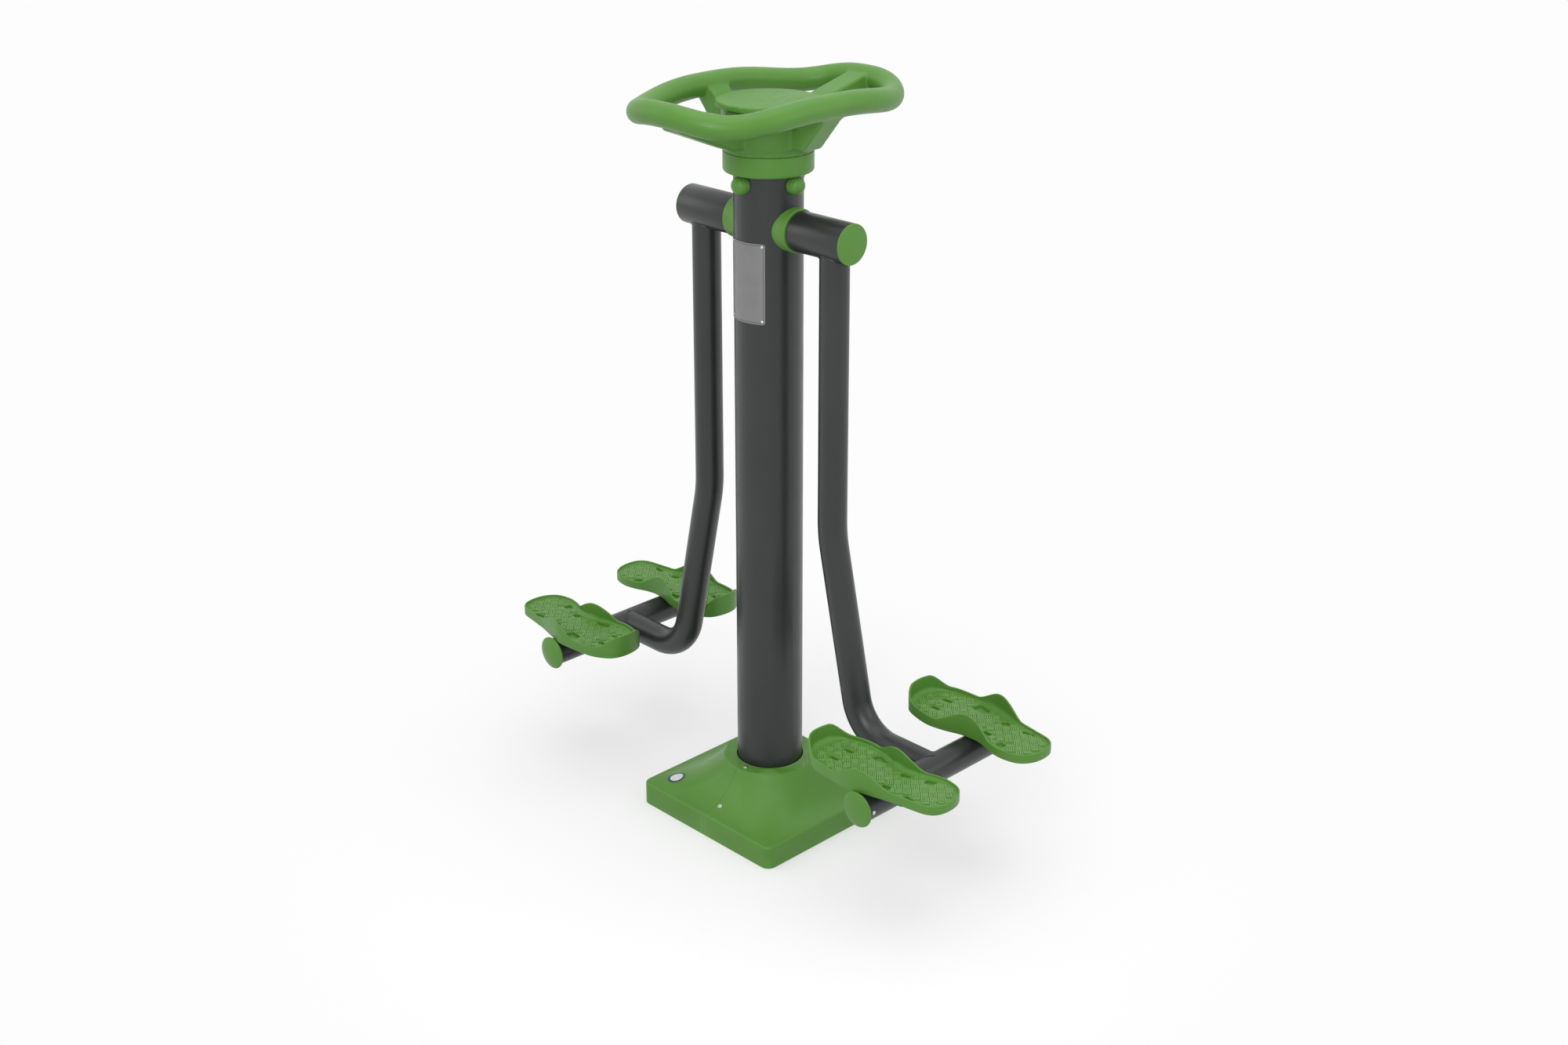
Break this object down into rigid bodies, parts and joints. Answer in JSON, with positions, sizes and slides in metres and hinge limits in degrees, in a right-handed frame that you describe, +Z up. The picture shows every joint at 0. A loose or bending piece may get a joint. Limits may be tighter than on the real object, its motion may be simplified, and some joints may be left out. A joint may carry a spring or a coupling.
{
  "type": "outdoor air walker",
  "caption": "Outdoor air walker: a bolted-down post with a fixed handwheel, and two legs with foot trays that swing freely beside it.",
  "frame": {"origin": "on the ground, on the axis of the post, under the base plate", "axes": "+Z up along the post, X along the swing axle, Y the way in which the legs swing"},
  "size_m": [1.2724, 0.597, 1.5895],
  "materials": {
    "dark_paint": "satin powder coat, dark grey",
    "green_plastic": "moulded, soft gloss, grass green",
    "zinc_steel": "hot-dip galvanised",
    "plate_steel": "fine brushed, bare",
    "bright_steel": "bright, zinc plated"
  },
  "bodies": {
    "root": {"post_tube": "dark_paint", "base_plate": "zinc_steel", "base_gussets": "dark_paint", "right_base_cover": "green_plastic", "left_base_cover": "green_plastic", "cover_screws": "bright_steel", "info_plate": "plate_steel", "plate_rivets": "bright_steel", "pivot_sleeve": "dark_paint", "pivot_axle": "bright_steel", "right_pivot_ring": "green_plastic", "left_pivot_ring": "green_plastic", "right_bearing_spacers": "zinc_steel", "left_bearing_spacers": "zinc_steel", "right_inner_races": "bright_steel", "left_inner_races": "bright_steel", "right_axle_washer": "bright_steel", "left_axle_washer": "bright_steel", "right_axle_nut": "bright_steel", "left_axle_nut": "bright_steel", "wheel_spigot": "zinc_steel", "wheel_bolts": "bright_steel", "wheel_bolt_caps": "green_plastic", "hub_collar": "green_plastic", "handwheel": "green_plastic", "hub_bolts": "bright_steel", "hub_lid": "green_plastic"},
    "right_leg": {"right_pivot_housing": "dark_paint", "right_outer_races": "bright_steel", "right_bearing_balls": "bright_steel", "right_end_cap": "green_plastic", "right_leg_tube": "dark_paint", "right_tread_tube": "dark_paint", "right_tube_caps": "green_plastic", "right_cap_screws": "bright_steel", "right_tray_plates": "dark_paint", "right_near_tray": "green_plastic", "right_far_tray": "green_plastic", "right_tray_bolts": "bright_steel"},
    "left_leg": {"left_pivot_housing": "dark_paint", "left_outer_races": "bright_steel", "left_bearing_balls": "bright_steel", "left_end_cap": "green_plastic", "left_leg_tube": "dark_paint", "left_tread_tube": "dark_paint", "left_tube_caps": "green_plastic", "left_cap_screws": "bright_steel", "left_tray_plates": "dark_paint", "left_near_tray": "green_plastic", "left_far_tray": "green_plastic", "left_tray_bolts": "bright_steel"}
  },
  "joints": [
    {"name": "right_swing", "type": "hinge", "parent": "root", "child": "right_leg", "pos_m": [0, 0, 1.308], "axis": [1, 0, 0], "range_deg": [-35, 35]},
    {"name": "left_swing", "type": "hinge", "parent": "root", "child": "left_leg", "pos_m": [0, 0, 1.308], "axis": [1, 0, 0], "range_deg": [-35, 35]}
  ]
}
